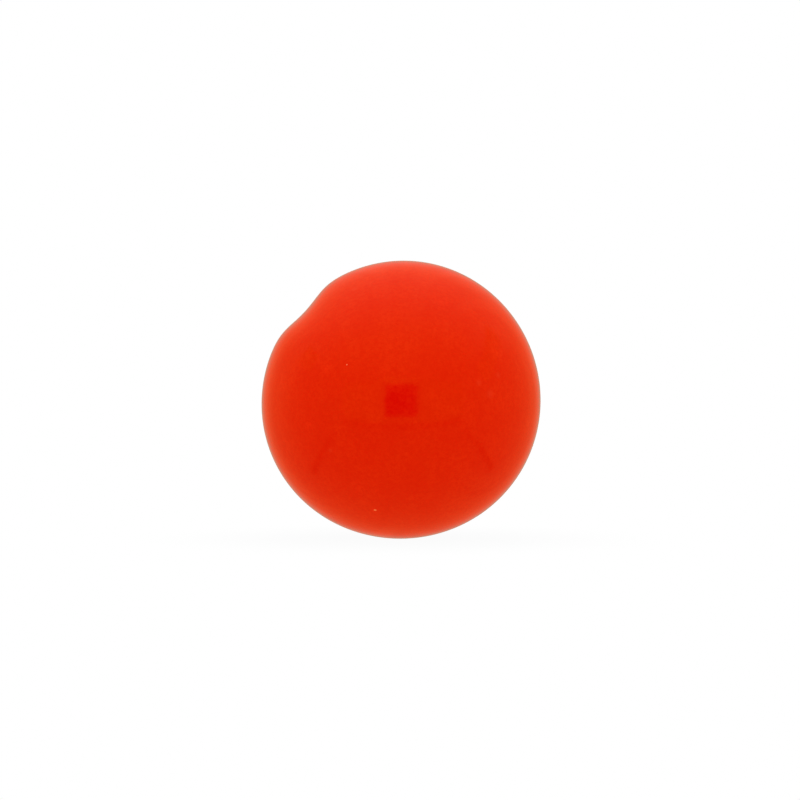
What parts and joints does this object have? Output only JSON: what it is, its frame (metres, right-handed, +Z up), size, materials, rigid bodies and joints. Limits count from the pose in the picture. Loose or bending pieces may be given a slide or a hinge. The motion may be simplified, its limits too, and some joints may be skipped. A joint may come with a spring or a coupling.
{
  "type": "case opening friction ball",
  "caption": "Soft inflated friction ball, pressed and turned by hand on a screw-down watch case back, with a needle valve set in a shallow dimple.",
  "frame": {"origin": "centre of the ball", "axes": "+Z is up as the ball lies; the valve axis lies in the XZ plane, 42 degrees above -X; the XZ plane is a plane of symmetry"},
  "size_m": [0.065, 0.065, 0.065],
  "materials": {
    "ball_skin": "glossy tacky soft compound, orange-red",
    "inner_patch": "matte bonded sheet",
    "valve_seat": "satin moulded compound",
    "valve_core": "satin dark red compound"
  },
  "bodies": {
    "ball": {"ball_shell": "ball_skin", "valve_patch": "inner_patch", "valve_seat": "valve_seat"},
    "core": {"valve_core": "valve_core"}
  },
  "joints": [
    {"name": "valve_core_slide", "type": "slide", "parent": "ball", "child": "core", "axis": [-0.7431, 0, 0.6691], "range_m": [0, 0.012]}
  ]
}
